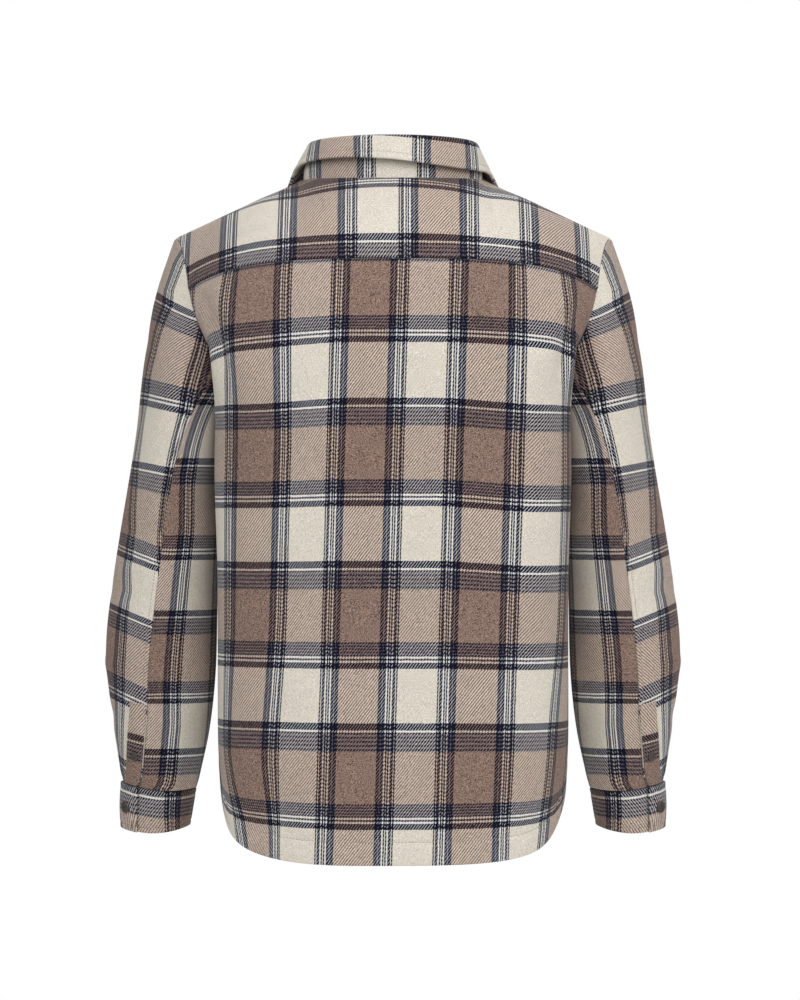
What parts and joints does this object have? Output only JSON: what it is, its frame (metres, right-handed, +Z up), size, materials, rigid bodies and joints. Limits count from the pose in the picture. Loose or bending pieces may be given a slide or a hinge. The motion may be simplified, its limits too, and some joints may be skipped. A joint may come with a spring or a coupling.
{
  "type": "lined jacket",
  "caption": "Checked shirt jacket in worn form with no wearer: back yoke over the shoulders, turned-down collar, two-piece sleeves, cuffs, curved hem and press studs; open at neck and hem.",
  "frame": {"origin": "between the shoulders at mid shoulder height, where the wearer's shoulders hold the jacket up", "axes": "+Z up; the back faces -Y and the front +Y; the wearer's left is at -X"},
  "size_m": [0.6338, 0.2796, 0.7895],
  "materials": {
    "checked_wool": "brushed twill, matt",
    "stud_metal": "matt"
  },
  "bodies": {
    "root": {"back": "checked_wool", "yoke": "checked_wool", "front_left": "checked_wool", "front_right": "checked_wool", "collar_stand": "checked_wool", "collar_leaf": "checked_wool", "sleeve_top_left": "checked_wool", "sleeve_under_left": "checked_wool", "sleeve_placket_left": "checked_wool", "cuff_left": "checked_wool", "sleeve_top_right": "checked_wool", "sleeve_under_right": "checked_wool", "sleeve_placket_right": "checked_wool", "cuff_right": "checked_wool", "stud_placket_left": "stud_metal", "stud_placket_right": "stud_metal", "stud_cuff_left": "stud_metal", "stud_cuff_right": "stud_metal", "stud_front_1": "stud_metal", "stud_front_2": "stud_metal", "stud_front_3": "stud_metal", "stud_front_4": "stud_metal", "stud_front_5": "stud_metal", "stud_front_6": "stud_metal"}
  },
  "joints": []
}
